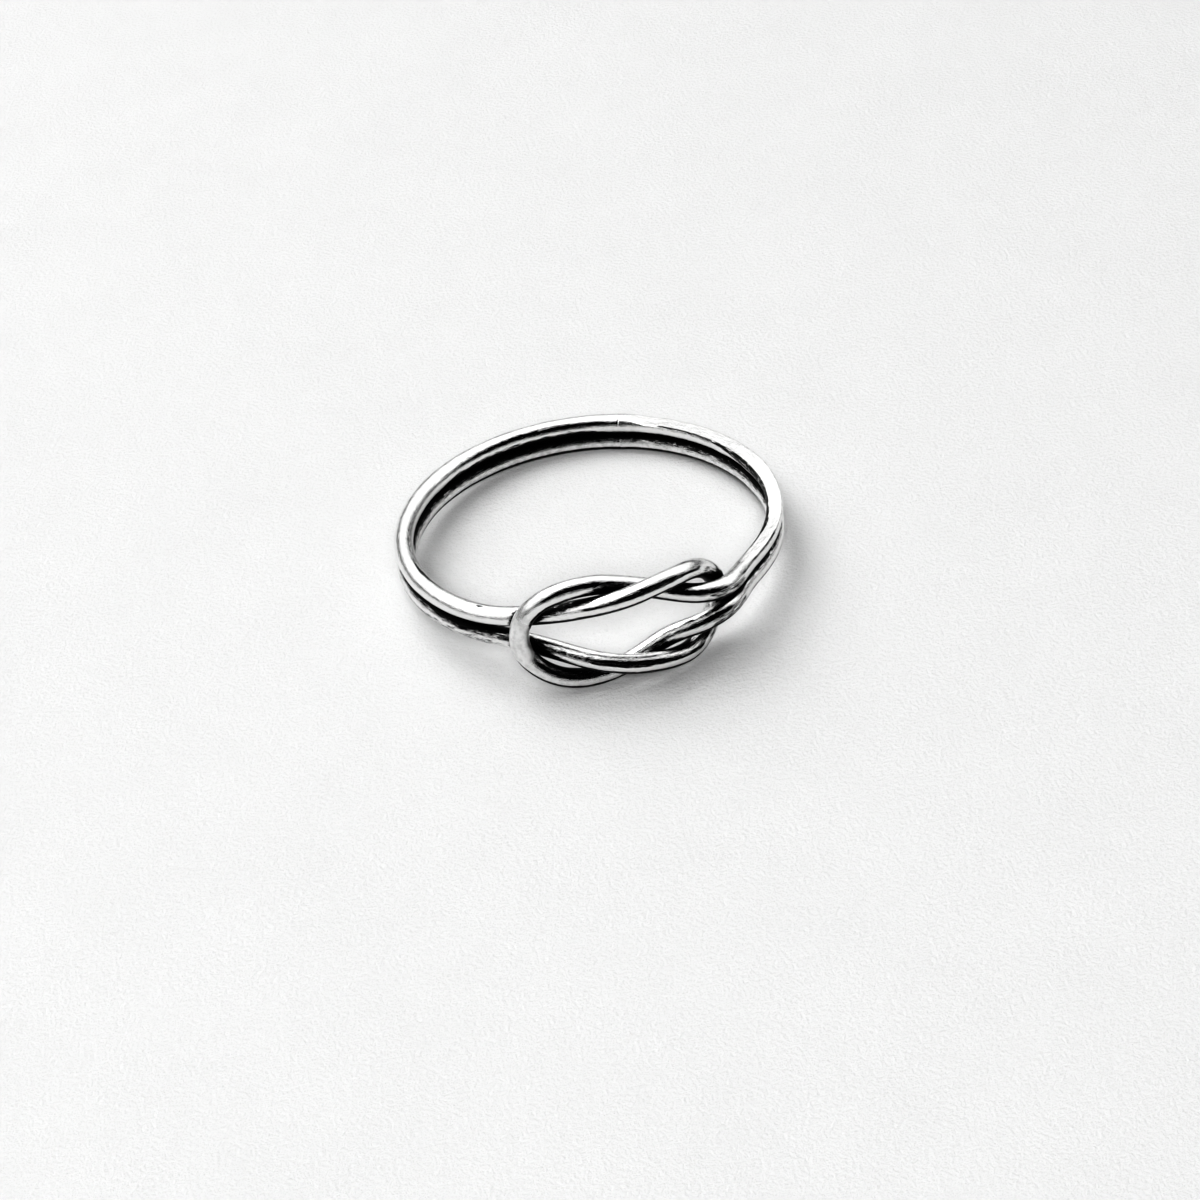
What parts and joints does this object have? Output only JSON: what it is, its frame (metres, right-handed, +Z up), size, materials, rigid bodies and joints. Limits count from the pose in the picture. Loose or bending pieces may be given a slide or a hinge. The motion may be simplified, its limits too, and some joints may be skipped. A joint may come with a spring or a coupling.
{
  "type": "knot ring",
  "caption": "Finger ring of round silver wire laid side by side as the band and crossed in an open square knot at the front.",
  "frame": {"origin": "bottom centre of the ring's box as it lies on its side on a flat surface", "axes": "+Z up from the surface, -Y towards the knot, +X towards the knot's right end seen from outside; the band's own axis leans 6.6 degrees from +Z because the wide knot holds the front up"},
  "size_m": [0.0192, 0.0196, 0.006],
  "materials": {
    "silver": "polished silver wire with fine scratches and darkened grooves"
  },
  "bodies": {
    "root": {"ring": "silver"}
  },
  "joints": []
}
